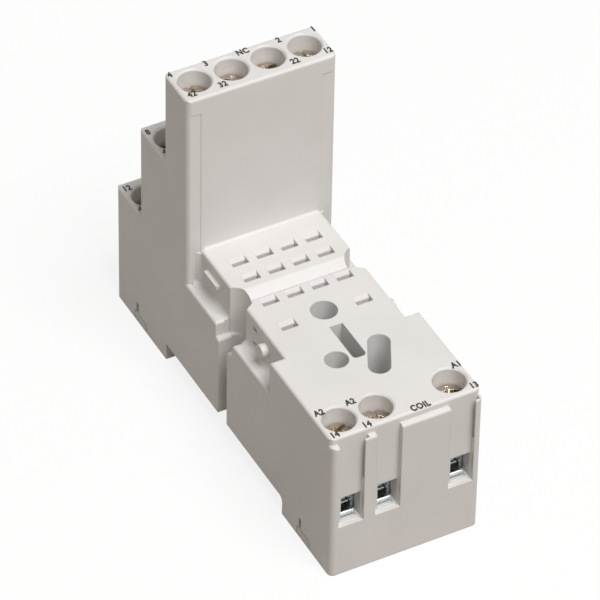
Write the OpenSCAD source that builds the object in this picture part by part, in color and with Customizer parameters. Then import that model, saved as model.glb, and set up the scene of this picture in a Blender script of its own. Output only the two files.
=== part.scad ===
// Plug-in relay socket for a 35 mm rail, with four changeover contacts and rising-cage terminals.
// X runs across the socket, Y from the coil face at the front to the lowest tier at the back,
// and Z up from the feet. The origin is under the middle of the socket, level with the feet.

/* [Overall] */
// Width of the moulding
socket_w = 27; // [26.6:0.1:32]
// Coil face to the front face of the tower
tower_y = 50.3; // [50:0.1:56]
// Thickness of the tower, front to back
tower_d = 8.3; // [8.2:0.1:12]
// Depth of the middle tier behind the tower
tier2_d = 8.9; // [8.6:0.1:12]
// Depth of the lowest tier at the back
tier3_d = 8.6; // [8.4:0.1:12]
// Height of the tower
tower_h = 61; // [61:0.5:70]
// Height of the middle tier
tier2_h = 43; // [42.5:0.1:43.2]
// Height of the lowest tier
tier3_h = 24.2; // [23.5:0.1:25]

/* [Relay seat] */
// Height of the seat that the relay plugs into, and of the coil block
seat_h = 29.1; // [28.6:0.1:30]
// Width of the narrow waist under the relay
seat_w = 21.9; // [21:0.1:23]
// Coil face to the step where the coil block reaches full width
coil_block_d = 21.3; // [20:0.1:22.5]
// Height of the side ledges beside the seat
ledge_h = 22.3; // [21.5:0.1:23.5]
// Pitch of the relay's pin columns
pin_pitch = 4.5; // [4.4:0.05:4.7]
// Coil face to the front edge of the pin slots nearest the tower
row_nc_y = 44.1; // [43.9:0.05:44.4]
// Coil face to the front edge of the second row of pin slots
row_no_y = 39.95; // [39.6:0.05:40.1]
// Coil face to the front edge of the third row of pin slots
row_com_y = 33.45; // [33.2:0.05:33.8]
// Coil face to the front edge of the two coil pins' slots
row_coil_y = 26.95; // [26.7:0.05:27.2]
// Length of a pin slot across the socket
slot_w = 2.9; // [2.6:0.1:3.2]
// Width of a pin slot from front to back
slot_d = 1.3; // [1.2:0.1:1.6]
// Bevel along the back edge of each pin slot
slot_bevel = 0.55; // [0.2:0.05:0.8]

/* [Waist] */
// Width of the narrow gap in each side
gap_w = 3.1; // [2.6:0.1:3.4]
// Coil face to the middle of the gap
gap_y = 37.5; // [37.3:0.1:37.7]
// Half of the width left between the inner ends of the two gaps
gap_core = 9.75; // [9.3:0.05:10.2]
// Radius in the inner corners of a gap
gap_r = 1.1; // [0.4:0.05:1.15]
// Width of the wider pocket above the gap
pocket_w = 5.9; // [5.7:0.1:6.3]
// Coil face to the middle of the pocket
pocket_y = 37.1; // [37:0.05:37.3]
// Height of the floor of that pocket
pocket_h = 19.45; // [18.5:0.1:20.5]
// Width of the round scoop in the side of the seat
scoop_w = 5.7; // [4.8:0.1:5.7]
// Depth of that scoop
scoop_d = 2.15; // [1.5:0.05:2.5]
// Front edge of the groove across the seat
groove_front = 35.6; // [35.5:0.05:35.8]
// Back edge of that groove
groove_back = 38.55; // [38.3:0.05:38.8]
// Depth of the groove
groove_d = 1.1; // [0.6:0.1:1.6]
// Length of the groove's sloping back
groove_slope = 1.7; // [1.2:0.1:2]
// Extra depth of the groove at its front edge
groove_dip = 0.1; // [0.05:0.05:0.3]

/* [Terminals] */
// Pitch of the terminal columns
column_pitch = 6.6; // [6.4:0.05:6.7]
// Diameter of a screw well
well_dia = 5.5; // [5.4:0.1:5.7]
// Bevel at the mouth of a well
well_bevel = 0.3; // [0.1:0.05:0.5]
// Depth of the screw heads below the rim of the well
head_depth = 2.55; // [2.3:0.05:3.2]
// Width of a wire entry
entry_w = 3.5; // [3:0.1:3.8]
// Height of a wire entry
entry_h = 5.15; // [4.8:0.05:5.4]
// How far the coil's wire entries stand to the right of their screws
entry_shift = 0.35; // [0:0.05:0.4]
// Bottom of the wire entry below the top of the coil block
coil_entry_drop = 18.5; // [18.2:0.1:18.6]
// Bottom of the wire entry below the top of each tier
tier_entry_drop = 17.2; // [17:0.1:17.4]
// Coil face to the axis of the coil screws
coil_screw_y = 4.85; // [4.8:0.05:5.4]
// Front of the tower to the axis of its screws
tower_screw_y = 4.5; // [4.3:0.1:4.7]
// Front of the lowest tier to the axis of its screws
tier3_screw_y = 3.95; // [3.8:0.05:4.6]

/* [Terminal screws] */
// Diameter of the screw's shank
screw_dia = 3; // [2.6:0.1:3.1]
// Diameter of the screw's head
head_dia = 5; // [4.6:0.1:5.1]
// Height of the screw's head
head_h = 2; // [1.8:0.1:2.3]
// Width of the slot in the head
driver_slot_w = 0.8; // [0.6:0.05:1]
// Depth of the slot in the head
driver_slot_d = 1.1; // [0.8:0.1:1.4]
// Length of the cross recess over the slot
cross_l = 2.8; // [2.4:0.1:3.4]
// Angle at which the slots stand to the socket's width
driver_turn = 35; // [0:5:90]
// Bevel round the top of the head
head_bevel = 0.3; // [0.1:0.05:0.5]

/* [Wire clamps] */
// Outer width of a cage
cage_w = 4.7; // [4.6:0.05:4.9]
// Length of a cage's side walls along the wire
cage_l = 4.2; // [4:0.05:4.3]
// Screw's axis to the back of its cage
cage_back = 2.5; // [2.4:0.05:2.6]
// Thickness of a cage's side walls
cage_wall = 0.8; // [0.6:0.05:0.85]
// Thickness of the ribbed jaw at the bottom
jaw_t = 1; // [0.8:0.05:1.1]
// Height of the open jaw above the bottom of the wire entry
jaw_rise = 1; // [0.6:0.05:1.1]
// Width of the jaw's front lip
lip_w = 2.8; // [2.6:0.05:3]
// Length of the lip ahead of the side walls
lip_l = 1.55; // [1.2:0.05:1.6]
// Pitch of the grip ribs on the jaw
rib_pitch = 0.7; // [0.6:0.05:0.8]
// Width of the grooves between those ribs, corner to corner
rib_groove = 0.3; // [0.2:0.05:0.4]
// Thickness of the threaded top plate
nut_t = 1.5; // [1.2:0.05:1.8]
// Travel of a cage from open to closed
clamp_travel = 3; // [2.5:0.1:3.2]
// Space left between the jaw and the contact bar when closed
clamp_rest = 0.4; // [0.2:0.05:0.6]

/* [Contacts] */
// Thickness of a contact's bar in the cage
bar_t = 1; // [0.8:0.05:1.2]
// Width of that bar
bar_w = 2.7; // [2.4:0.05:2.8]
// Thickness of the strip that joins the bar to the pin springs
strip_t = 0.8; // [0.5:0.05:0.9]
// Width of the strip and of the pin springs
spring_w = 2.7; // [2.4:0.05:2.8]
// Thickness of each leaf of a pin spring
leaf_t = 0.4; // [0.3:0.05:0.45]
// Height of a pin spring's leaves
leaf_h = 6.8; // [6:0.1:7.2]
// Depth of the leaf tips below the seat
leaf_drop = 1.8; // [1.4:0.1:2]
// Height of the strips from the tower's bars to their pins
run_nc_z = 18.2; // [17.8:0.1:18.4]
// Height of the strips from the middle tier's bars
run_no_z = 14; // [13:0.1:15]
// Height of the strips from the lowest tier's bars
run_com_z = 8.5; // [7.5:0.1:9.5]
// Height of the step in the plates behind the bars
jog_h = 3; // [2.5:0.1:3.5]

/* [Coil face] */
// Height of the plain apron under the wire entries
apron_h = 10.35; // [10:0.05:10.6]
// Depth of the channels above the apron
channel_d = 0.95; // [0.6:0.05:1.1]
// Width of a channel
channel_w = 4.5; // [4.2:0.05:4.8]
// Drop from the seat to the tops of the ridges between the channels
ridge_drop = 1.35; // [1:0.05:1.6]
// Reach of the marker slits into the ridges beside two of the channels
marker_slit_w = 0.8; // [0.5:0.05:1]
// Thickness of the ridges' skin in front of those slits
marker_skin = 0.25; // [0.15:0.05:0.35]
// Height of the bottom of the slits
marker_slit_z = 19; // [18.5:0.1:20]

/* [Seat holes] */
// Diameter of the hole for the panel screw
panel_hole_dia = 4.5; // [4.2:0.1:4.8]
// Coil face to the panel screw's hole
panel_hole_y = 28.4; // [28.2:0.05:28.8]
// Diameter of the round module socket
module_hole_dia = 4; // [3.6:0.1:4.2]
// Middle of the round module socket, to the left of the middle of the seat
module_hole_x = 3.75; // [3.6:0.05:3.9]
// Coil face to the middle of the round module socket
module_hole_y = 17.1; // [16.8:0.1:17.4]
// Width of the key slot
key_slot_w = 2.35; // [2:0.05:2.5]
// Front end of the key slot
key_slot_front = 16.05; // [15.8:0.05:16.6]
// Back end of the key slot
key_slot_back = 24.4; // [24:0.1:24.8]
// Radius of the key slot's front corners
key_slot_r = 0.7; // [0.3:0.05:0.9]
// Width of the slanted module socket
slant_w = 3.75; // [3.4:0.05:3.9]
// Distance between the centres of its two round ends
slant_l = 5.6; // [5:0.1:5.8]
// Middle of the slanted socket, to the right of the middle of the seat
slant_x = 2.95; // [2.9:0.05:3.2]
// Coil face to the middle of the slanted socket
slant_y = 15.25; // [15:0.05:15.5]
// Angle of the slanted socket to the socket's width
slant_angle = 62.5; // [61:0.5:65]
// Depth of the module sockets and the key slot
module_depth = 12; // [10:0.5:12.5]

/* [Rail side] */
// Height of the recess for the rail
rail_h = 3.5; // [3.2:0.1:3.8]
// Front end of the recess
rail_front = 16.4; // [16:0.1:17]
// Back end of the recess
rail_back = 57.8; // [57.4:0.1:58.4]
// Radius in the upper front corner of the recess
recess_r = 1; // [0.5:0.1:1.5]
// Width of the rail
rail_w = 35; // [34.8:0.1:35.2]
// Thickness of the rail's lips
rail_lip = 1; // [0.9:0.05:1.2]
// Front edge of the rail behind the front end of the recess
rail_inset = 1.8; // [1.6:0.1:2.2]
// Reach of the fixed hook and of the latch under the rail
hook_reach = 1.8; // [1.4:0.1:2.2]
// Width of the fixed hook
hook_w = 16; // [12:0.5:18]
// Height of the base cover's upper face
cover_h = 5.2; // [5:0.1:5.5]
// Thickness of the housing's wall round the base cover
skirt_t = 1.6; // [1.4:0.05:1.8]
// Gap round the base cover
cover_gap = 0.1; // [0.05:0.01:0.15]
// Length of a snap catch
catch_l = 4.2; // [3.6:0.1:5]
// Height of a snap catch
catch_h = 1.85; // [1.6:0.05:2.2]
// Bevel along the top of a snap catch
catch_bevel = 0.35; // [0.2:0.05:0.5]
// Width of the release slit above a snap catch
catch_slit_w = 0.8; // [0.6:0.1:1]
// Height of that slit above the catch
catch_slit_h = 2.25; // [1.8:0.05:2.6]
// Distance of that slit from the catch's back end
catch_slit_inset = 0.5; // [0.3:0.1:0.7]
// Front edge of the front catches
catch_front = 7; // [6.5:0.1:8]
// Front edge of the back catches
catch_back = 65.1; // [64.5:0.1:66]

/* [Rail latch] */
// Width of the latch's tongue
latch_w = 9.2; // [8:0.1:10]
// Width over the latch's guide flanges
latch_flange_w = 12; // [11:0.1:13]
// Thickness of the tongue
latch_t = 1.9; // [1.7:0.05:2]
// Thickness of the guide flanges
latch_flange_t = 0.9; // [0.7:0.05:1]
// Height of the tongue's underside above the feet
latch_lift = 0.3; // [0.2:0.05:0.4]
// Sliding clearance round the latch
latch_gap = 0.1; // [0.05:0.01:0.12]
// Travel of the latch
latch_travel = 3; // [2.5:0.1:3.2]
// Length of the bevel under the latch's nose
nose_l = 1.4; // [1:0.1:1.8]
// Thickness of the tip of the nose
nose_t = 0.5; // [0.3:0.05:0.8]
// Back end of the rail recess to the front of the guide flanges
flange_inset = 2.2; // [2:0.1:2.5]
// Width of the screwdriver slot in its tail
pry_w = 5; // [4:0.1:6]
// Length of that slot
pry_l = 1.4; // [1:0.1:1.8]
// Thickness of the tail behind the slot
pry_wall = 1; // [0.8:0.1:1.2]

/* [Edges and trim] */
// Radius of the upright corners
corner_r = 1; // [0.6:0.05:1.3]
// Radius of the top edges
edge_r = 0.5; // [0.3:0.05:0.7]
// Radius of the blends between the seat, the ledges and the tower
blend_r = 0.8; // [0.4:0.05:1]
// Step at the sides of the tower's front face
face_step = 0.06; // [0.04:0.01:0.15]
// Height below the tower's top where that step starts
face_step_drop = 3.2; // [2.5:0.1:4]
// Diameter of the retainer's pivot pegs
peg_dia = 2.3; // [2:0.05:2.6]
// Length of a peg
peg_l = 1.25; // [1:0.05:1.5]
// Coil face to the pegs' axis
peg_y = 27.3; // [27:0.05:27.8]
// Height of the pegs' axis
peg_z = 26; // [25.6:0.05:26.4]
// Length of the rib on each side of the seat
rib_l = 4.4; // [3.8:0.1:5]
// Height of that rib's upper face
rib_z = 26.9; // [26:0.1:27.4]
// How far the rib stands out
rib_out = 0.8; // [0.5:0.05:1]
// Thickness of that rib
rib_t = 0.8; // [0.6:0.1:1]
// Distance of the rib from the front of the tower
rib_inset = 2.6; // [2.4:0.1:2.8]
// Length of the small slits behind each peg
slit_l = 1.3; // [1:0.1:1.5]
// Height of those slits
slit_h = 0.7; // [0.5:0.1:0.9]
// Depth of those slits
slit_d = 0.5; // [0.3:0.1:0.7]
// Peg's axis to the middle of the slits
slit_offset = 3.9; // [3.7:0.1:4.1]
// Height of the lower slit's middle below the peg's axis
slit_low = 2; // [1.8:0.1:2.2]
// Height of the upper slit's middle above the peg's axis
slit_high = 1; // [0.8:0.1:1.2]

/* [Fits] */
// Radial clearance of the screw's shank
screw_gap = 0.05; // [0.03:0.01:0.08]
// Clearance between a cage and the walls of its chamber
cage_gap = 0.2; // [0.15:0.01:0.25]
// Clearance along a cage at each end
cage_end_gap = 0.25; // [0.2:0.01:0.28]
// Housing left between a chamber and the plate behind it
strip_wall = 0.35; // [0.3:0.05:0.4]
// Gap between a contact bar and the cage's top plate when the cage is open
plate_gap = 0.3; // [0.2:0.05:0.4]
// Clearance between the rail's lips and the fixed hook
hook_gap = 0.2; // [0.1:0.05:0.3]

/* [Hidden] */
$fn = 48;
eps = 0.01;
over = 1;
tier2_y = tower_y + tower_d;
tier3_y = tier2_y + tier2_d;
socket_l = tier3_y + tier3_d;
half_w = socket_w / 2;
slot_rows = [row_nc_y, row_no_y, row_com_y, row_coil_y];
run_z = [run_nc_z, run_no_z, run_com_z];
// Inside of a terminal chamber, counted from the screw's axis
chamber_w = cage_w + 2 * cage_gap;
chamber_back = cage_back + cage_end_gap;
wall_front = cage_l - cage_back;
chamber_front = wall_front + cage_end_gap;
lip_front = wall_front + lip_l;
// Heights inside a terminal, counted from the top of its open jaw
bar_z = clamp_travel + clamp_rest;
plate_z = bar_z + bar_t + plate_gap;
cage_top = plate_z + nut_t;
chamber_floor = -jaw_t - cage_gap;
chamber_roof = cage_top + clamp_travel + cage_gap;
rib_count = floor(cage_l / rib_pitch) - 1;
// Fields of a terminal record
T_NAME = 0;
T_X = 1;
T_Y = 2;
T_TOP = 3;
T_JAW = 4;
T_SIDE = 5;
columns = [for (i = [0 : 3]) (i - 1.5) * column_pitch];
pins = [for (i = [0 : 3]) (i - 1.5) * pin_pitch];
// Terminal numbers by tier, from the left column to the right one
tier_names = [["42", "32", "22", "12"], ["44", "34", "24", "14"], ["41", "31", "21", "11"]];
tier_tops = [tower_h, tier2_h, tier3_h];
tier_axes = [tower_y + tower_screw_y, tier2_y + tier2_d / 2, tier3_y + tier3_screw_y];
TIER_TERMINALS = [for (t = [0 : 2]) for (i = [0 : 3])
    [tier_names[t][i], columns[i], tier_axes[t], tier_tops[t],
     tier_tops[t] - tier_entry_drop + jaw_rise, 1]];
coil_jaw = seat_h - coil_entry_drop + jaw_rise;
COIL_TERMINALS = [
    ["a2_left", columns[0], coil_screw_y, seat_h, coil_jaw, -1],
    ["a2_right", columns[1], coil_screw_y, seat_h, coil_jaw, -1],
    ["a1", columns[3], coil_screw_y, seat_h, coil_jaw, -1]];
TERMINALS = concat(TIER_TERMINALS, COIL_TERMINALS);
CONTACTS = concat([for (t = TIER_TERMINALS) t[T_NAME]], ["a1", "a2"]);

// Moves a piece from the coil face's frame to the socket's own origin.
module placed() {
    translate([0, -socket_l / 2, 0]) children();
}

// A box given by its low and high corners.
module span(low, high) {
    translate(low) cube(high - low);
}

// A rectangle with rounded corners at the chosen ends of Y.
module end_rounded(w, l, r, front, back) {
    difference() {
        translate([-w / 2, 0]) square([w, l]);
        for (side = [-1, 1]) {
            if (front) corner_waste(side * w / 2, 0, -side, 1, r);
            if (back) corner_waste(side * w / 2, l, -side, -1, r);
        }
    }
}

// What a radius removes from a square corner; sx and sy point into the material.
module corner_waste(x, y, sx, sy, r) {
    translate([x, y]) difference() {
        translate([sx > 0 ? -eps : -r, sy > 0 ? -eps : -r]) square(r + eps);
        translate([sx * r, sy * r]) circle(r);
    }
}

// A block whose upright corners and top edges are rounded.
module block(w, y0, y1, z0, z1, front, back, top_front = true, top_back = true) {
    l = y1 - y0;
    intersection() {
        translate([0, y0, z0]) linear_extrude(z1 - z0) end_rounded(w, l, corner_r, front, back);
        translate([0, y0 - over, z0]) rotate([90, 0, 180]) mirror([1, 0, 0])
            linear_extrude(l + 2 * over) end_rounded(w, z1 - z0, edge_r, false, true);
        translate([-w / 2 - over, y0, z0]) rotate([90, 0, 90]) linear_extrude(w + 2 * over)
            difference() {
                square([l, z1 - z0]);
                if (top_front) corner_waste(0, z1 - z0, 1, -1, edge_r);
                if (top_back) corner_waste(l, z1 - z0, -1, -1, edge_r);
            }
    }
}

// ---- housing ----

module housing_body() {
    coil_back = pocket_y - pocket_w / 2;
    gap_front = gap_y - gap_w / 2;
    // The tower and the two tiers behind it
    block(socket_w, tower_y, tier2_y, 0, tower_h, true, true);
    block(socket_w, tier2_y - 2 * corner_r, tier3_y, 0, tier2_h, false, true, false);
    block(socket_w, tier3_y - 2 * corner_r, socket_l, 0, tier3_h, false, true, false);
    // The foot of the tower, out to the waist
    block(socket_w, pocket_y + pocket_w / 2, tower_y + 2 * corner_r, 0, ledge_h, false, false, true, false);
    block(socket_w, gap_y + gap_w / 2, tower_y + over, 0, pocket_h, false, false, true, false);
    // The seat between them
    block(seat_w, channel_d + over, tower_y + over, 0, seat_h, false, false, false, false);
    // The coil block
    block(socket_w, channel_d, coil_block_d, 0, seat_h, true, false);
    block(socket_w, channel_d, coil_back, 0, ledge_h, true, false, false);
    block(socket_w, channel_d, gap_front, 0, pocket_h, true, false, false);
    coil_front();
}

// The apron and the ridges that stand in front of the coil block.
module coil_front() {
    ridge_top = seat_h - ridge_drop;
    depth = channel_d + 2 * corner_r;
    difference() {
        block(socket_w, 0, depth, 0, ridge_top, true, false, true, false);
        for (t = COIL_TERMINALS)
            span([t[T_X] - channel_w / 2, -over, apron_h], [t[T_X] + channel_w / 2, channel_d, tower_h]);
    }
}

// The gaps' inner ends, the round scoops above them and the groove that parts the seat.
module waist_cuts() {
    scoop_r = (scoop_w * scoop_w / 4 + scoop_d * scoop_d) / (2 * scoop_d);
    intersection() {
        span([-seat_w / 2, 0, 0], [seat_w / 2, socket_l, tower_h]);
        for (side = [-1, 1])
            translate([side * (seat_w / 2 - scoop_d + scoop_r), pocket_y, pocket_h])
                cylinder(r = scoop_r, h = tower_h);
    }
    for (side = [-1, 1])
        translate([side * gap_core, gap_y, -over]) rotate(-90 * side) linear_extrude(pocket_h + 2 * over)
            end_rounded(gap_w, half_w - gap_core + over, gap_r, true, false);
    translate([-half_w, 0, 0]) rotate([90, 0, 90]) linear_extrude(socket_w)
        polygon([[groove_front, seat_h + over], [groove_front, seat_h - groove_d - groove_dip],
            [groove_back - groove_slope, seat_h - groove_d], [groove_back, seat_h], [groove_back, seat_h + over]]);
}

// A concave blend's section: the corner lies at the origin, and sx and sy point out of it.
module blend(r, sx, sy) {
    overlap = 4 * face_step;
    difference() {
        translate([sx > 0 ? -overlap : -r, sy > 0 ? -overlap : -r]) square(r + overlap);
        translate([sx * r, sy * r]) circle(r);
    }
}

// Blends where the seat's walls and the tower's front meet the ledges and each other.
module seat_blends() {
    for (side = [-1, 1]) {
        for (y = [[coil_block_d - over, pocket_y - pocket_w / 2], [pocket_y + pocket_w / 2, tower_y + over]])
            translate([side * seat_w / 2, y[1], ledge_h]) rotate([90, 0, 0])
                linear_extrude(y[1] - y[0]) blend(blend_r, side, 1);
        translate([side * seat_w / 2, tower_y, ledge_h - over])
            linear_extrude(seat_h - ledge_h - edge_r + over) blend(blend_r, side, -1);
        translate([side > 0 ? seat_w / 2 - over : corner_r - half_w, tower_y, ledge_h]) rotate([90, 0, 90])
            linear_extrude(half_w - corner_r - seat_w / 2 + over) blend(blend_r, -1, 1);
    }
    translate([-seat_w / 2 + edge_r, tower_y, seat_h]) rotate([90, 0, 90])
        linear_extrude(seat_w - 2 * edge_r) blend(blend_r / 2, -1, 1);
}

// A pin slot with the bevel along its back edge.
module pin_slot(x, y) {
    depth = leaf_drop + leaf_h;
    span([x - slot_w / 2, y, seat_h - depth], [x + slot_w / 2, y + slot_d, seat_h + over]);
    translate([x - slot_w / 2, y + slot_d, seat_h]) rotate([90, 0, 90]) linear_extrude(slot_w)
        polygon([[-eps, -slot_bevel], [0, -slot_bevel], [slot_bevel, 0], [slot_bevel, over], [-eps, over]]);
}

module pin_slots() {
    for (row = [0 : 2]) for (x = pins) pin_slot(x, slot_rows[row]);
    for (x = [pins[0], pins[3]]) pin_slot(x, slot_rows[3]);
}

// The holes in front of the pins: panel screw, key slot and the two module sockets.
module seat_holes() {
    floor_z = seat_h - module_depth;
    key_slot_l = key_slot_back - key_slot_front;
    translate([0, panel_hole_y, -over]) cylinder(d = panel_hole_dia, h = tower_h);
    translate([-module_hole_x, module_hole_y, floor_z]) cylinder(d = module_hole_dia, h = tower_h);
    translate([0, key_slot_front, floor_z]) linear_extrude(tower_h)
        end_rounded(key_slot_w, key_slot_l, key_slot_r, true, false);
    translate([slant_x, slant_y, floor_z]) rotate(slant_angle) linear_extrude(tower_h) union() {
        for (end = [-1, 1]) translate([end * slant_l / 2, 0]) circle(d = slant_w);
        square([slant_l, slant_w - 2 * eps], center = true);
    }
}

// Everything that one terminal needs: well, bore, chamber, way of the lip and wire entry.
module terminal_cuts(t) {
    seat_z = t[T_TOP] - head_depth - head_h - screw_gap;
    roof = t[T_JAW] + chamber_roof;
    shift = t[T_SIDE] > 0 ? 0 : entry_shift;
    translate([t[T_X], t[T_Y], 0]) {
        translate([0, 0, seat_z]) cylinder(d = well_dia, h = tower_h);
        translate([0, 0, t[T_TOP] - well_bevel])
            cylinder(d1 = well_dia, d2 = well_dia + 2 * (well_bevel + over), h = well_bevel + over);
        translate([0, 0, roof - eps]) cylinder(d = screw_dia + 2 * screw_gap, h = seat_z - roof + 2 * eps);
        mirror([0, t[T_SIDE] > 0 ? 0 : 1, 0]) {
            span([-chamber_w / 2, -chamber_back, t[T_JAW] + chamber_floor],
                [chamber_w / 2, chamber_front, roof]);
            span([-lip_w / 2 - cage_gap, 0, t[T_JAW] + chamber_floor],
                [lip_w / 2 + cage_gap, lip_front + cage_end_gap, t[T_JAW] + clamp_travel + cage_gap]);
            span([shift - entry_w / 2, 0, t[T_JAW] - jaw_rise],
                [shift + entry_w / 2, 2 * lip_front, t[T_JAW] - jaw_rise + entry_h]);
        }
    }
}

// Marker slits that run into the ridges to the right of the outer channels, behind a thin skin.
module marker_slits() {
    for (x = [columns[0], columns[3]])
        span([x + channel_w / 2 - eps, marker_skin, marker_slit_z],
            [x + channel_w / 2 + marker_slit_w, channel_d, seat_h]);
}

// The base cover's outline: full width in the feet and narrow between them, grown by a gap.
module cover_plan(gap, z0, z1) {
    foot_w = half_w - skirt_t + gap;
    web_w = seat_w / 2 - skirt_t + gap;
    span([-foot_w, skirt_t - gap, z0], [foot_w, rail_front - skirt_t + gap, z1]);
    span([-foot_w, rail_back + skirt_t - gap, z0], [foot_w, socket_l - skirt_t + gap, z1]);
    span([-web_w, skirt_t - gap, z0], [web_w, socket_l - skirt_t + gap, z1]);
}

// The rail recess, the seat of the base cover, and the notches for its catches and the latch.
module rail_side_cuts() {
    difference() {
        span([-half_w - over, rail_front, -over], [half_w + over, rail_back, rail_h]);
        translate([-half_w, rail_front, rail_h]) rotate([90, 0, 90])
            linear_extrude(socket_w) blend(recess_r, 1, -1);
    }
    cover_plan(cover_gap, -over, cover_h);
    for (side = [-1, 1]) for (y = [catch_front, catch_back]) {
        slit_end = y + catch_l - catch_slit_inset;
        span([side > 0 ? half_w - skirt_t - over : -half_w - over, y - cover_gap, -over],
            [side > 0 ? half_w + over : -half_w + skirt_t + over, y + catch_l + cover_gap, catch_h + cover_gap]);
        span([side > 0 ? half_w - skirt_t : -half_w - over, slit_end - catch_slit_w, catch_h],
            [side > 0 ? half_w + over : -half_w + skirt_t, slit_end, catch_h + catch_slit_h]);
    }
    span([-latch_flange_w / 2 - latch_gap, socket_l - 2 * skirt_t, -over],
        [latch_flange_w / 2 + latch_gap, socket_l + over, latch_lift + latch_t + latch_gap]);
}

// The thin steps that edge the tower's front face.
module tower_face_steps() {
    for (side = [-1, 1])
        span([side > 0 ? seat_w / 2 : -half_w - over, tower_y - over, ledge_h + edge_r],
            [side > 0 ? half_w + over : -seat_w / 2, tower_y + face_step, tower_h - face_step_drop]);
}

// The peg and the rib on each side of the seat.
module seat_trim() {
    for (side = [-1, 1]) {
        translate([side * (seat_w / 2 - over), peg_y, peg_z]) rotate([0, side * 90, 0])
            cylinder(d = peg_dia, h = peg_l + over);
        translate([side * seat_w / 2, tower_y - rib_inset - rib_l / 2, rib_z - rib_t / 2])
            cube([2 * rib_out, rib_l, rib_t], center = true);
    }
}

// The two small slits behind each peg.
module seat_slits() {
    for (side = [-1, 1]) for (z = [peg_z - slit_low, peg_z + slit_high])
        translate([side * seat_w / 2, peg_y + slit_offset, z])
            cube([2 * slit_d, slit_l, slit_h], center = true);
}

module housing() {
    color([0.87, 0.85, 0.82]) placed() difference() {
        union() {
            difference() {
                housing_body();
                waist_cuts();
                tower_face_steps();
            }
            seat_blends();
            seat_trim();
        }
        pin_slots();
        seat_holes();
        seat_slits();
        marker_slits();
        rail_side_cuts();
        for (t = TERMINALS) terminal_cuts(t);
        for (t = TIER_TERMINALS) contact_shape([t]);
        contact_shape([COIL_TERMINALS[0], COIL_TERMINALS[1]]);
        contact_shape([COIL_TERMINALS[2]]);
    }
}

// ---- rail side ----

module base_cover() {
    hook_root = rail_front + rail_inset;
    channel_top = latch_lift + latch_t + latch_gap;
    color([0.82, 0.80, 0.77]) placed() difference() {
        union() {
            cover_plan(0, 0, cover_h);
            for (side = [-1, 1]) for (y = [catch_front, catch_back]) snap_catch(side, y);
        }
        span([-half_w, rail_front, -over], [half_w, rail_back, rail_h]);
        translate([0, panel_hole_y, 0]) cylinder(d = panel_hole_dia, h = cover_h + over);
        // The latch's T-shaped guide
        span([-latch_w / 2 - latch_gap, rail_back - over, -over],
            [latch_w / 2 + latch_gap, socket_l, channel_top]);
        span([-latch_flange_w / 2 - latch_gap, rail_back - over, channel_top - latch_flange_t - 2 * latch_gap],
            [latch_flange_w / 2 + latch_gap, socket_l, channel_top]);
    }
    // The fixed hook that holds the front lip of the rail
    color([0.82, 0.80, 0.77]) placed() difference() {
        span([-hook_w / 2, rail_front, 0], [hook_w / 2, hook_root + hook_reach, rail_h]);
        span([-hook_w, hook_root, rail_h - rail_lip - hook_gap],
            [hook_w, hook_root + hook_reach + over, rail_h + over]);
    }
}

// One catch: it fills its notch in the housing's skirt, with a bevelled upper edge.
module snap_catch(side, y) {
    reach = skirt_t + over;
    translate([side * (half_w - reach), y, 0]) mirror([side > 0 ? 0 : 1, 0, 0])
        rotate([90, 0, 0]) mirror([0, 0, 1]) linear_extrude(catch_l)
            polygon([[0, 0], [reach, 0], [reach, catch_h - catch_bevel],
                [reach - catch_bevel, catch_h], [0, catch_h]]);
}

// The latch: a tongue with a bevelled nose, guide flanges and a slot for a screwdriver.
module rail_latch() {
    nose = rail_front + rail_inset + rail_w - hook_reach;
    top = latch_lift + latch_t;
    color([0.80, 0.78, 0.75]) placed() difference() {
        union() {
            translate([-latch_w / 2, 0, 0]) rotate([90, 0, 90]) linear_extrude(latch_w)
                polygon([[nose, top], [nose, top - nose_t], [nose + nose_l, latch_lift],
                    [socket_l, latch_lift], [socket_l, top]]);
            span([-latch_flange_w / 2, rail_back + flange_inset, top - latch_flange_t],
                [latch_flange_w / 2, socket_l - pry_wall, top]);
        }
        span([-pry_w / 2, socket_l - pry_wall - pry_l, -over], [pry_w / 2, socket_l - pry_wall, top + over]);
    }
}

// ---- terminals ----

// A terminal screw: cheese head with a slot and a cross, turning in the housing's bore.
module terminal_screw(t) {
    top = t[T_TOP] - head_depth;
    tip = t[T_JAW] + bar_z + bar_t + screw_gap;
    color([0.80, 0.78, 0.73]) placed() translate([t[T_X], t[T_Y], 0]) difference() {
        union() {
            translate([0, 0, top - head_h]) cylinder(d = head_dia, h = head_h - head_bevel);
            translate([0, 0, top - head_bevel])
                cylinder(d1 = head_dia, d2 = head_dia - 2 * head_bevel, h = head_bevel);
            translate([0, 0, tip]) cylinder(d = screw_dia, h = top - head_h - tip + eps);
        }
        translate([0, 0, top]) rotate(driver_turn) {
            cube([head_dia + over, driver_slot_w, 2 * driver_slot_d], center = true);
            cube([driver_slot_w, cross_l, 2 * driver_slot_d], center = true);
        }
    }
}

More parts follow.
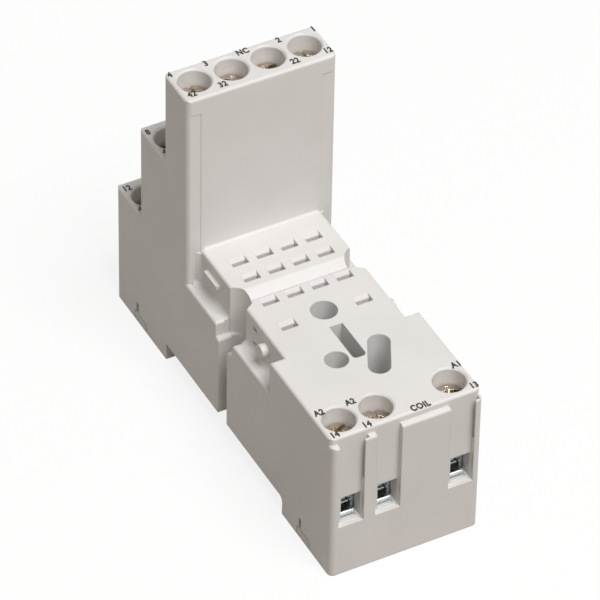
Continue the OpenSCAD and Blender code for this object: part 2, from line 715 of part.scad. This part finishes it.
// A rising cage: a ribbed jaw with a round-nosed lip, two side walls and the threaded plate.
module wire_clamp(t) {
    nose_r = jaw_t / 2;
    color([0.72, 0.74, 0.76]) placed() translate([t[T_X], t[T_Y], t[T_JAW]])
        mirror([0, t[T_SIDE] > 0 ? 0 : 1, 0]) difference() {
            union() {
                span([-cage_w / 2, -cage_back, -jaw_t], [cage_w / 2, wall_front, cage_top]);
                span([-lip_w / 2, 0, -jaw_t], [lip_w / 2, lip_front - nose_r, 0]);
                translate([-lip_w / 2, lip_front - nose_r, -nose_r]) rotate([0, 90, 0])
                    cylinder(r = nose_r, h = lip_w);
            }
            span([-cage_w / 2 + cage_wall, -cage_back - over, 0],
                [cage_w / 2 - cage_wall, wall_front + over, plate_z]);
            cylinder(d = screw_dia + 2 * screw_gap, h = cage_top + over);
            for (i = [1 : rib_count])
                translate([0, wall_front - i * rib_pitch, 0]) rotate([45, 0, 0])
                    cube([lip_w, rib_groove, rib_groove], center = true);
        }
}

// ---- contacts ----

// A contact: a bar in each of its cages, a plate behind them, and a strip to the pin's spring.
// The list holds the terminals that it serves, which lie side by side.
module contact_shape(list) {
    t = list[0];
    coil = t[T_SIDE] < 0;
    tier = [for (i = [0 : 2]) if (tier_tops[i] == t[T_TOP] && !coil) i];
    row = coil ? 3 : tier[0];
    column = [for (i = [0 : 3]) if (columns[i] == t[T_X]) i][0];
    pin_x = pins[column];
    bar_level = t[T_JAW] + bar_z;
    run = coil ? bar_level : run_z[row];
    plate_near = t[T_Y] - t[T_SIDE] * (chamber_back + strip_wall);
    plate_far = plate_near - t[T_SIDE] * strip_t;
    plate_y0 = min(plate_near, plate_far);
    plate_y1 = max(plate_near, plate_far);
    xs = concat([for (e = list) e[T_X] - bar_w / 2], [for (e = list) e[T_X] + bar_w / 2],
        [pin_x - spring_w / 2, pin_x + spring_w / 2]);
    spring_y = slot_rows[row] + slot_d / 2;
    leaf_top = seat_h - leaf_drop;
    for (e = list) {
        bar_end = e[T_Y] + e[T_SIDE] * wall_front;
        span([e[T_X] - bar_w / 2, min(plate_y0, bar_end), bar_level],
            [e[T_X] + bar_w / 2, max(plate_y1, bar_end), bar_level + bar_t]);
    }
    // The plate that steps across from the bars to the pin's column, then down to the run
    span([min(xs), plate_y0, bar_level + bar_t - (coil ? bar_t : jog_h)], [max(xs), plate_y1, bar_level + bar_t]);
    span([pin_x - spring_w / 2, plate_y0, min(run, bar_level)], [pin_x + spring_w / 2, plate_y1, bar_level + bar_t]);
    // The run under the seat and the riser below the pin
    span([pin_x - spring_w / 2, min(spring_y - slot_d / 2, plate_y0), run],
        [pin_x + spring_w / 2, max(spring_y + slot_d / 2, plate_y1), run + strip_t]);
    span([pin_x - spring_w / 2, spring_y - strip_t / 2, run],
        [pin_x + spring_w / 2, spring_y + strip_t / 2, leaf_top - leaf_h]);
    // The two leaves that grip the pin
    difference() {
        span([pin_x - spring_w / 2, spring_y - slot_d / 2, leaf_top - leaf_h - strip_t],
            [pin_x + spring_w / 2, spring_y + slot_d / 2, leaf_top]);
        span([pin_x - spring_w, spring_y - slot_d / 2 + leaf_t, leaf_top - leaf_h],
            [pin_x + spring_w, spring_y + slot_d / 2 - leaf_t, leaf_top + over]);
    }
}

module contact(list) {
    color([0.80, 0.55, 0.38]) placed() contact_shape(list);
}

housing();
base_cover();
rail_latch();
for (t = TERMINALS) {
    terminal_screw(t);
    wire_clamp(t);
}
for (t = TIER_TERMINALS) {
    contact([t]);
}
contact([COIL_TERMINALS[0], COIL_TERMINALS[1]]);  // contact_a2
contact([COIL_TERMINALS[2]]);  // contact_a1
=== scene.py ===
"""Looks of the plug-in relay socket: camera, finishes, dressed screws, prints, stage and light.

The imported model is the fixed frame, in metres. Sizes here are in millimetres and become metres
through MM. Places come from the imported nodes' boxes.
"""

import math

import bmesh
import bpy
from mathutils import Matrix, Vector


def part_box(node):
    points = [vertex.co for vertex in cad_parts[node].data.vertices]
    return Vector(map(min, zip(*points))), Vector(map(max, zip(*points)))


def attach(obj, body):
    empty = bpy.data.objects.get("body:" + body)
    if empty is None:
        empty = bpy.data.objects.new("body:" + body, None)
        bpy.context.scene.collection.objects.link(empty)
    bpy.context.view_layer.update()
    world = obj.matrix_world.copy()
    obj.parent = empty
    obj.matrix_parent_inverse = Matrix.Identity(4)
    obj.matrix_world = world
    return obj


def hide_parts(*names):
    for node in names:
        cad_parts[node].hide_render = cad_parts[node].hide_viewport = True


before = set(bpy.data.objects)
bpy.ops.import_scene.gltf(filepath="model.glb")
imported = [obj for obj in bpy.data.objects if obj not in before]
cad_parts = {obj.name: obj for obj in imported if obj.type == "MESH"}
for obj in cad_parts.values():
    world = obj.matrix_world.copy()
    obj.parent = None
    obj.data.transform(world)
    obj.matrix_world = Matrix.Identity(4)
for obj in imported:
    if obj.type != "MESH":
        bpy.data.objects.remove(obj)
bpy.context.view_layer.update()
MM = 0.001


# ---- camera ----

VIEW_AZIMUTH = math.radians(-28.606)
VIEW_ELEVATION = math.radians(41.859)
VIEW_ROLL = math.radians(1.132)
VIEW_DISTANCE = 886.2 * MM
LENS = 328.57
SENSOR = 36.0
CLIP_START = 0.05
CLIP_END = 20
# A point in the socket, and how far to the right of the optical axis and above it the point lies
AIM_POINT = Vector((0, -3.05, 22)) * MM
AIM_ACROSS = 0.642 * MM
AIM_UP = -2.951 * MM


def make_camera():
    """Puts the camera where the reference view was taken from."""
    level = math.cos(VIEW_ELEVATION)
    back = Vector((math.sin(VIEW_AZIMUTH) * level, -math.cos(VIEW_AZIMUTH) * level,
                   math.sin(VIEW_ELEVATION)))
    right = Vector((math.cos(VIEW_AZIMUTH), math.sin(VIEW_AZIMUTH), 0))
    up = back.cross(right)
    cosine, sine = math.cos(VIEW_ROLL), math.sin(VIEW_ROLL)
    right, up = cosine * right + sine * up, cosine * up - sine * right
    turn = Matrix((right, up, back)).transposed().to_4x4()
    data = bpy.data.cameras.new("view")
    data.lens = LENS
    data.sensor_width = SENSOR
    data.clip_start = CLIP_START
    data.clip_end = CLIP_END
    camera = bpy.data.objects.new("view", data)
    place = AIM_POINT + back * VIEW_DISTANCE - right * AIM_ACROSS - up * AIM_UP
    camera.matrix_world = Matrix.Translation(place) @ turn
    bpy.context.scene.collection.objects.link(camera)
    bpy.context.scene.camera = camera


make_camera()


# ---- materials ----

class Nodes:
    """A material's node tree with short calls for the nodes that the finishes share."""

    def __init__(self, name):
        self.material = bpy.data.materials.new(name)
        self.material.use_nodes = True
        self.tree = self.material.node_tree
        self.shader = self.tree.nodes["Principled BSDF"]
        self.place = self.add("ShaderNodeTexCoord").outputs["Object"]

    def add(self, kind, **values):
        node = self.tree.nodes.new(kind)
        for key, value in values.items():
            setattr(node, key, value)
        return node

    def link(self, start, end):
        self.tree.links.new(start, end)

    def noise(self, size, detail=2.0, stretch=(1, 1, 1)):
        """Noise whose grains are about size millimetres across."""
        mapping = self.add("ShaderNodeMapping")
        mapping.inputs["Scale"].default_value = stretch
        self.link(self.place, mapping.inputs["Vector"])
        node = self.add("ShaderNodeTexNoise")
        node.inputs["Scale"].default_value = 1 / (size * MM)
        node.inputs["Detail"].default_value = detail
        self.link(mapping.outputs["Vector"], node.inputs["Vector"])
        return node.outputs["Fac"]

    def ramp(self, factor, stops):
        """Colours by factor: stops holds (position, colour) pairs."""
        node = self.add("ShaderNodeValToRGB")
        elements = node.color_ramp.elements
        while len(elements) < len(stops):
            elements.new(0.5)
        for element, (position, colour) in zip(elements, stops):
            element.position = position
            element.color = (*colour, 1)
        self.link(factor, node.inputs["Fac"])
        return node.outputs["Color"]

    def spread(self, factor, low, high):
        """Factor 0.3 to 0.7 turned into low to high."""
        node = self.add("ShaderNodeMapRange")
        node.inputs["From Min"].default_value = 0.3
        node.inputs["From Max"].default_value = 0.7
        node.inputs["To Min"].default_value = low
        node.inputs["To Max"].default_value = high
        self.link(factor, node.inputs["Value"])
        return node.outputs["Result"]

    def soft_edges(self, radius):
        """A normal that rounds edges by radius millimetres."""
        node = self.add("ShaderNodeBevel", samples=6)
        node.inputs["Radius"].default_value = radius * MM
        return node.outputs["Normal"]

    def bump(self, height, depth, normal=None):
        """Relief of depth millimetres."""
        node = self.add("ShaderNodeBump")
        node.inputs["Distance"].default_value = depth * MM
        self.link(height, node.inputs["Height"])
        if normal is not None:
            self.link(normal, node.inputs["Normal"])
        return node.outputs["Normal"]

    def set(self, **values):
        """Shader sockets by name, with _ for a space: a number is set, an output is linked."""
        for key, value in values.items():
            socket = self.shader.inputs[key.replace("_", " ")]
            if isinstance(value, bpy.types.NodeSocket):
                self.link(value, socket)
            else:
                socket.default_value = value


def plastic(name, dark, light, roughness, grain):
    """Moulded plastic: cloudy colour, fine spark-eroded grain and soft edges."""
    nodes = Nodes(name)
    cloud = nodes.noise(9, 4)
    fine = nodes.noise(grain, 2)
    wave = nodes.bump(nodes.noise(5, 1), 0.02, nodes.soft_edges(0.22))
    nodes.set(
        Base_Color=nodes.ramp(cloud, [(0.3, dark), (0.7, light)]),
        Roughness=nodes.spread(fine, roughness - 0.06, roughness + 0.06),
        Normal=nodes.bump(fine, 0.006, wave),
        Specular_IOR_Level=0.42)
    return nodes.material


def metal(name, dark, light, low, high, grain, stretch=(1, 1, 1), tarnish=None):
    """Plated metal: patchy colour and gloss, a brushed or tumbled grain, and dull spots."""
    nodes = Nodes(name)
    patch = nodes.noise(1.2, 5)
    fine = nodes.noise(grain, 3, stretch)
    stops = [(0.3, dark), (0.7, light)]
    if tarnish:
        stops = [(0.22, tarnish)] + stops
    nodes.set(
        Base_Color=nodes.ramp(patch, stops),
        Metallic=1.0,
        Roughness=nodes.spread(patch, high, low),
        Normal=nodes.bump(fine, 0.004, nodes.soft_edges(0.1)))
    return nodes.material


# Turning marks: the distance from ring to ring, and their relief, in millimetres
RING_STEP = 0.3
RING_DEPTH = 0.0015


def turned_metal(name, dark, light, low, high):
    """Plated metal with the fine rings that turning leaves round a screw's axis."""
    nodes = Nodes(name)
    patch = nodes.noise(0.9, 5)
    rings = nodes.add("ShaderNodeTexWave", wave_type="RINGS", rings_direction="Z", wave_profile="SIN")
    rings.inputs["Scale"].default_value = 1 / (RING_STEP * MM)
    rings.inputs["Distortion"].default_value = 0.6
    nodes.link(nodes.place, rings.inputs["Vector"])
    nodes.set(
        Base_Color=nodes.ramp(patch, [(0.3, dark), (0.7, light)]),
        Metallic=1.0,
        Roughness=nodes.spread(patch, high, low),
        Normal=nodes.bump(rings.outputs["Fac"], RING_DEPTH,
                          nodes.bump(patch, 0.004, nodes.soft_edges(0.08))))
    return nodes.material


def ink(name):
    """Black pad print that is slightly thin in places."""
    nodes = Nodes(name)
    speckle = nodes.noise(0.12, 3)
    nodes.set(
        Base_Color=nodes.ramp(speckle, [(0.3, (0.012, 0.011, 0.012)), (0.75, (0.05, 0.047, 0.045))]),
        Roughness=nodes.spread(speckle, 0.4, 0.6),
        Normal=nodes.bump(speckle, 0.003))
    return nodes.material


MOULDING = plastic("grey_moulding", (0.70, 0.685, 0.675), (0.735, 0.72, 0.71), 0.46, 0.16)
COVER = plastic("cover_moulding", (0.65, 0.635, 0.62), (0.685, 0.67, 0.655), 0.5, 0.18)
LATCH = plastic("latch_moulding", (0.60, 0.585, 0.565), (0.63, 0.615, 0.595), 0.42, 0.2)
# The screws' warm, brassy tint is painted reflection of the warm plastic well walls; nickel plate itself
# is a cooler grey.
SCREW_METAL = turned_metal("nickel_plate_painted_warm_reflection", (0.50, 0.43, 0.35), (0.70, 0.62, 0.52), 0.12, 0.24)
CLAMP_METAL = metal("zinc_plate", (0.50, 0.55, 0.57), (0.74, 0.79, 0.81), 0.16, 0.34, 0.2,
                    (1, 1, 1), (0.36, 0.40, 0.42))
# The contact metal is kept much darker and browner than bare copper alloy: painted shade of the deep
# contact slots it sits in.
CONTACT_METAL = metal("copper_alloy_painted_shade", (0.30, 0.20, 0.14), (0.46, 0.32, 0.23), 0.25, 0.42, 0.2,
                      (1, 6, 1))
INK = ink("black_print")


def finish(thing, material):
    """Gives every material slot of an object the same finish."""
    if not thing.data.materials:
        thing.data.materials.append(material)
    for index in range(len(thing.data.materials)):
        thing.data.materials[index] = material


def dress_cad_nodes():
    """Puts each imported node's finish on it, by the first word of its name."""
    finishes = {"housing": MOULDING, "base": COVER, "rail": LATCH, "screw": SCREW_METAL,
                "clamp": CLAMP_METAL, "contact": CONTACT_METAL}
    for name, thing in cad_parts.items():
        finish(thing, finishes[name.split("_")[0]])


dress_cad_nodes()


# ---- terminal screws ----

# The head, in millimetres
HEAD_R = 2.5
HEAD_H = 2.0
HEAD_CHAMFER = 0.12
# Its dome from the side to the middle: how far in from the rim, and how far below the top
DOME = [(0, 0.85), (0.05, 0.66), (0.22, 0.47), (0.55, 0.31), (1.0, 0.17), (1.5, 0.07), (2.0, 0.015)]
# Its slot and its cross recess: a taper is the width at the bottom as a share of the width at the top
SLOT_HALF = 4
SLOT_W = 0.8
SLOT_DEPTH = 1.1
SLOT_TAPER = 0.92
CROSS_HALF = 1.5
CROSS_HALF_W = 0.36
CROSS_DEPTH = 1.5
CROSS_TAPER = 0.45
EDGE_ROUND = 0.05
ROUNDED_ANGLE = math.radians(40)
# The shank with its M3 thread, the plain neck above it and the chamfered tip below it
SHANK_R = 1.5
THREAD_ROOT_R = 1.22
THREAD_PITCH = 0.5
NECK = 0.9
NECK_IN_HEAD = 0.1
TIP_CHAMFER = 0.5
TIP_STEP = 0.15
TIP_H = 0.4
# Smoothness of the meshes
HEAD_SEGMENTS = 64
SHANK_SEGMENTS = 24
STEPS_PER_TURN = 6
SMOOTH_ANGLE = math.radians(38)
# Degrees that the first screw is turned by, and that each next one is turned further
FIRST_TURN = 35
TURN_STEP = 41


def new_object(name, bm):
    """An object in the scene from a bmesh, which is used up."""
    mesh = bpy.data.meshes.new(name)
    bm.to_mesh(mesh)
    bm.free()
    thing = bpy.data.objects.new(name, mesh)
    bpy.context.scene.collection.objects.link(thing)
    return thing


def lathe(bm, rings, segments, radius=None):
    """A closed turned solid; rings holds (radius, height), and radius(r, height, turn) may vary it."""
    circles = []
    for r, z in rings:
        circle = []
        for k in range(segments):
            angle = 2 * math.pi * k / segments
            far = radius(r, z, k / segments) if radius else r
            circle.append(bm.verts.new((far * math.cos(angle), far * math.sin(angle), z)))
        circles.append(circle)
    for low, high in zip(circles, circles[1:]):
        for k in range(segments):
            nxt = (k + 1) % segments
            bm.faces.new((low[k], low[nxt], high[nxt], high[k]))
    bm.faces.new(list(reversed(circles[0])))
    bm.faces.new(circles[-1])


def wedge(name, half_l, half_w, depth, narrowing):
    """A recess cutter: a bar below the level 0, narrower at its bottom."""
    bm = bmesh.new()
    corners = []
    for z, share in ((-depth, narrowing), (1.0, 1 + (1 - narrowing) / depth)):
        corners.append([bm.verts.new((sx * half_l * share, sy * half_w * share, z))
                        for sx, sy in ((-1, -1), (1, -1), (1, 1), (-1, 1))])
    low, high = corners
    bm.faces.new(list(reversed(low)))
    bm.faces.new(high)
    for k in range(4):
        bm.faces.new((low[k], low[(k + 1) % 4], high[(k + 1) % 4], high[k]))
    return new_object(name, bm)


def evaluated(thing):
    """The object's mesh with its modifiers applied."""
    bpy.context.view_layer.update()
    return bpy.data.meshes.new_from_object(thing.evaluated_get(bpy.context.evaluated_depsgraph_get()))


def screw_head():
    """A domed cheese head with a slot and a cross recess, its top at the level 0."""
    bm = bmesh.new()
    profile = [(HEAD_R - HEAD_CHAMFER, -HEAD_H), (HEAD_R, -HEAD_H + HEAD_CHAMFER)]
    profile += [(HEAD_R - inward, -below) for inward, below in DOME]
    lathe(bm, profile, HEAD_SEGMENTS)
    head = new_object("head", bm)
    cutters = [wedge("slot", SLOT_HALF, SLOT_W / 2, SLOT_DEPTH, SLOT_TAPER),
               wedge("cross_a", CROSS_HALF, CROSS_HALF_W, CROSS_DEPTH, CROSS_TAPER),
               wedge("cross_b", CROSS_HALF, CROSS_HALF_W, CROSS_DEPTH, CROSS_TAPER)]
    cutters[1].rotation_euler.z = math.pi / 2
    for cutter in cutters:
        cut = head.modifiers.new("cut", "BOOLEAN")
        cut.object = cutter
        cut.solver = "EXACT"
    soften = head.modifiers.new("soften", "BEVEL")
    soften.width = EDGE_ROUND
    soften.segments = 2
    soften.limit_method = "ANGLE"
    soften.angle_limit = ROUNDED_ANGLE
    mesh = evaluated(head)
    for thing in [head] + cutters:
        bpy.data.objects.remove(thing)
    return mesh


def thread_radius(r, z, turn):
    """The root or the crest of the thread at this height and turn; r 0 is threaded."""
    if r:
        return r
    phase = (z / THREAD_PITCH - turn) % 1
    flank = min(1.0, max(0.0, 1.5 - abs(2 * phase - 1) * 2.2))
    return THREAD_ROOT_R + (SHANK_R - THREAD_ROOT_R) * flank


def screw_mesh(length):
    """A whole screw of the given length, its top at the level 0."""
    bm = bmesh.new()
    bm.from_mesh(screw_head())
    tip = -length
    rings = [(SHANK_R - TIP_CHAMFER, tip), (SHANK_R - (TIP_CHAMFER - TIP_STEP), tip + TIP_STEP)]
    steps = int((length - HEAD_H - NECK - TIP_H) / THREAD_PITCH * STEPS_PER_TURN)
    start = tip + TIP_H
    rings += [(0, start + k * THREAD_PITCH / STEPS_PER_TURN) for k in range(steps)]
    rings += [(THREAD_ROOT_R, -HEAD_H - NECK), (THREAD_ROOT_R, -HEAD_H + NECK_IN_HEAD)]
    lathe(bm, rings, SHANK_SEGMENTS, thread_radius)
    bmesh.ops.scale(bm, vec=(MM, MM, MM), verts=bm.verts)
    mesh = bpy.data.meshes.new("screw")
    bm.to_mesh(mesh)
    bm.free()
    mesh.shade_smooth()
    mesh.set_sharp_from_angle(angle=SMOOTH_ANGLE)
    return mesh


def make_screws():
    """A dressed screw for each plain one, each standing at a turn of its own."""
    meshes = {}
    names = sorted(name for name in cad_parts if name.startswith("screw_"))
    for count, name in enumerate(names):
        low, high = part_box(name)
        length = round((high.z - low.z) / MM, 3)
        if length not in meshes:
            meshes[length] = screw_mesh(length)
        terminal = name.removeprefix("screw_")
        piece = bpy.data.objects.new(f"dressed_screw_{terminal}", meshes[length])
        piece.location = ((low.x + high.x) / 2, (low.y + high.y) / 2, high.z)
        piece.rotation_euler.z = math.radians(FIRST_TURN + TURN_STEP * count)
        bpy.context.scene.collection.objects.link(piece)
        finish(piece, SCREW_METAL)
        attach(piece, f"screw_body_{terminal}")
        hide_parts(name)


make_screws()


# ---- prints ----

# Letters: height and added stroke in millimetres, width and spacing as shares of the font's own
LETTER_H = 1.75
LETTER_BOLD = 0.085
LETTER_STRETCH = 0.8
LETTER_GAP = 1.08
# How far the prints lie above the face, and the screw heads below it, in millimetres
PRINT_LIFT = 0.012
HEAD_DEPTH = 2.55


def print_marks(name, marks):
    """One flat print: marks holds (text, screw, across, along), in millimetres from the screw's axis."""
    vertices = []
    faces = []
    for text, screw, across, along in marks:
        low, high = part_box(f"screw_{screw}")
        x = (low.x + high.x) / 2 + across * MM
        y = (low.y + high.y) / 2 + along * MM
        z = high.z + (HEAD_DEPTH + PRINT_LIFT) * MM
        curve = bpy.data.curves.new(name, "FONT")
        curve.body = text
        curve.size = LETTER_H * MM
        curve.align_x = "CENTER"
        curve.align_y = "CENTER"
        curve.space_character = LETTER_GAP
        curve.offset = LETTER_BOLD * MM
        curve.resolution_u = 4
        holder = bpy.data.objects.new(name, curve)
        bpy.context.scene.collection.objects.link(holder)
        flat = evaluated(holder)
        start = len(vertices)
        vertices += [(v.co.x * LETTER_STRETCH + x, v.co.y + y, z) for v in flat.vertices]
        faces += [[start + index for index in p.vertices] for p in flat.polygons]
        bpy.data.objects.remove(holder)
    mesh = bpy.data.meshes.new(name)
    mesh.from_pydata(vertices, [], faces)
    piece = bpy.data.objects.new(name, mesh)
    bpy.context.scene.collection.objects.link(piece)
    finish(piece, INK)
    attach(piece, "socket")


def make_prints():
    """Terminal numbers beside the wells, on each tier and on the coil block."""
    print_marks("print_tower", [
        ("4", "42", -2.9, 2.9), ("3", "32", -3.1, 2.9), ("NC", "22", -3.1, 2.9),
        ("2", "22", 3.4, 2.9), ("1", "12", 3.1, 2.9),
        ("42", "42", -1.9, -2.95), ("32", "32", -3.0, -2.95),
        ("22", "22", 3.35, -2.95), ("12", "12", 2.7, -2.95)])
    print_marks("print_middle_tier", [
        ("8", "44", -2.8, 2.75), ("7", "34", -3.1, 2.75), ("NO", "24", -3.1, 2.75),
        ("6", "24", 3.4, 2.75), ("5", "14", 3.0, 2.75),
        ("44", "44", -2.2, -2.9), ("34", "34", -3.1, -2.9),
        ("24", "24", 3.3, -2.9), ("14", "14", 2.5, -2.9)])
    print_marks("print_lowest_tier", [
        ("12", "41", -2.4, 3.0), ("11", "31", -3.3, 3.0),
        ("10", "21", 3.3, 3.0), ("9", "11", 3.0, 3.0),
        ("41", "41", -2.4, -2.7), ("31", "31", -3.3, -2.7),
        ("21", "21", 3.3, -2.7), ("11", "11", 2.4, -2.7)])
    print_marks("print_coil_block", [
        ("A2", "a2_left", -2.15, 2.55), ("A2", "a2_right", -3.2, 2.55), ("A1", "a1", 2.7, 2.65),
        ("14", "a2_left", -2.3, -3.02), ("14", "a2_right", -3.3, -3.18),
        ("COIL", "a1", -7.0, -3.22), ("13", "a1", 2.9, -2.85)])


make_prints()


# ---- stage and light ----

FLOOR_HALF = 3.0


def plane(name, corners):
    """A flat object in the scene with the given corners."""
    mesh = bpy.data.meshes.new(name)
    mesh.from_pydata(corners, [], [range(len(corners))])
    thing = bpy.data.objects.new(name, mesh)
    bpy.context.scene.collection.objects.link(thing)
    return thing


def seen_rays(nodes):
    """1 for rays from the camera, a gloss or a glass, and 0 for the rays that light things."""
    path = nodes.new("ShaderNodeLightPath")
    total = None
    for name in ("Is Camera Ray", "Is Glossy Ray", "Is Transmission Ray"):
        if total is None:
            total = path.outputs[name]
            continue
        both = nodes.new("ShaderNodeMath")
        both.operation = "MAXIMUM"
        nodes.id_data.links.new(total, both.inputs[0])
        nodes.id_data.links.new(path.outputs[name], both.inputs[1])
        total = both.outputs[0]
    return total


FLOOR_SHADOW = 0.16
FLOOR_SEEN = (0.93, 0.93, 0.93, 1)
FLOOR_BOUNCE = (0.30, 0.26, 0.20, 1)


def make_floor():
    """A plain white floor that shows the object's shadow faintly."""
    floor = plane("floor", [(-FLOOR_HALF, -FLOOR_HALF, 0), (FLOOR_HALF, -FLOOR_HALF, 0),
                            (FLOOR_HALF, FLOOR_HALF, 0), (-FLOOR_HALF, FLOOR_HALF, 0)])
    material = bpy.data.materials.new("floor_white")
    material.use_nodes = True
    tree = material.node_tree
    tree.nodes.clear()
    diffuse = tree.nodes.new("ShaderNodeBsdfDiffuse")
    rays = seen_rays(tree.nodes)
    tint = tree.nodes.new("ShaderNodeMix")
    tint.data_type = "RGBA"
    tint.inputs["A"].default_value = FLOOR_BOUNCE
    tint.inputs["B"].default_value = FLOOR_SEEN
    tree.links.new(rays, tint.inputs["Factor"])
    tree.links.new(tint.outputs["Result"], diffuse.inputs["Color"])
    glow = tree.nodes.new("ShaderNodeEmission")
    glow.inputs["Strength"].default_value = 1.0
    seen = tree.nodes.new("ShaderNodeMixShader")
    share = tree.nodes.new("ShaderNodeMath")
    share.operation = "MULTIPLY"
    share.inputs[1].default_value = 1 - FLOOR_SHADOW
    tree.links.new(rays, share.inputs[0])
    tree.links.new(share.outputs[0], seen.inputs["Fac"])
    tree.links.new(diffuse.outputs[0], seen.inputs[1])
    tree.links.new(glow.outputs[0], seen.inputs[2])
    output = tree.nodes.new("ShaderNodeOutputMaterial")
    tree.links.new(seen.outputs[0], output.inputs["Surface"])
    floor.data.materials.append(material)


WORLD_COLOUR = (1, 0.975, 0.91, 1)
WORLD_LEVEL = 0.31


def make_world():
    """A white surround for the eye and the gloss, and a dim warm one for the light."""
    world = bpy.data.worlds.new("studio")
    world.use_nodes = True
    tree = world.node_tree
    tree.nodes.clear()
    lit = tree.nodes.new("ShaderNodeBackground")
    lit.inputs["Color"].default_value = WORLD_COLOUR
    lit.inputs["Strength"].default_value = WORLD_LEVEL
    shown = tree.nodes.new("ShaderNodeBackground")
    shown.inputs["Strength"].default_value = 1.0
    mix = tree.nodes.new("ShaderNodeMixShader")
    tree.links.new(seen_rays(tree.nodes), mix.inputs["Fac"])
    tree.links.new(lit.outputs[0], mix.inputs[1])
    tree.links.new(shown.outputs[0], mix.inputs[2])
    output = tree.nodes.new("ShaderNodeOutputWorld")
    tree.links.new(mix.outputs[0], output.inputs["Surface"])
    bpy.context.scene.world = world


def softbox(name, direction, distance, size, level, colour):
    """A square lamp that gives a surface facing it the stated level, 1 being as bright as written."""
    data = bpy.data.lights.new(name, "AREA")
    data.shape = "SQUARE"
    data.size = size
    data.energy = math.pi ** 2 * distance ** 2 * level
    data.color = colour
    lamp = bpy.data.objects.new(name, data)
    toward = Vector(direction).normalized()
    turn = toward.to_track_quat("Z", "Y").to_matrix().to_4x4()
    lamp.matrix_world = Matrix.Translation(toward * distance) @ turn
    bpy.context.scene.collection.objects.link(lamp)


# The lamp's direction from the socket, its distance and side in metres, its level and its colour
KEY_DIRECTION = (0.08, -0.45, 0.88)
KEY_DISTANCE = 1.2
KEY_SIDE = 0.6
KEY_LEVEL = 0.88
KEY_COLOUR = (1, 0.985, 0.98)

make_floor()
make_world()
softbox("key", KEY_DIRECTION, KEY_DISTANCE, KEY_SIDE, KEY_LEVEL, KEY_COLOUR)
bpy.context.scene.view_settings.view_transform = "Standard"
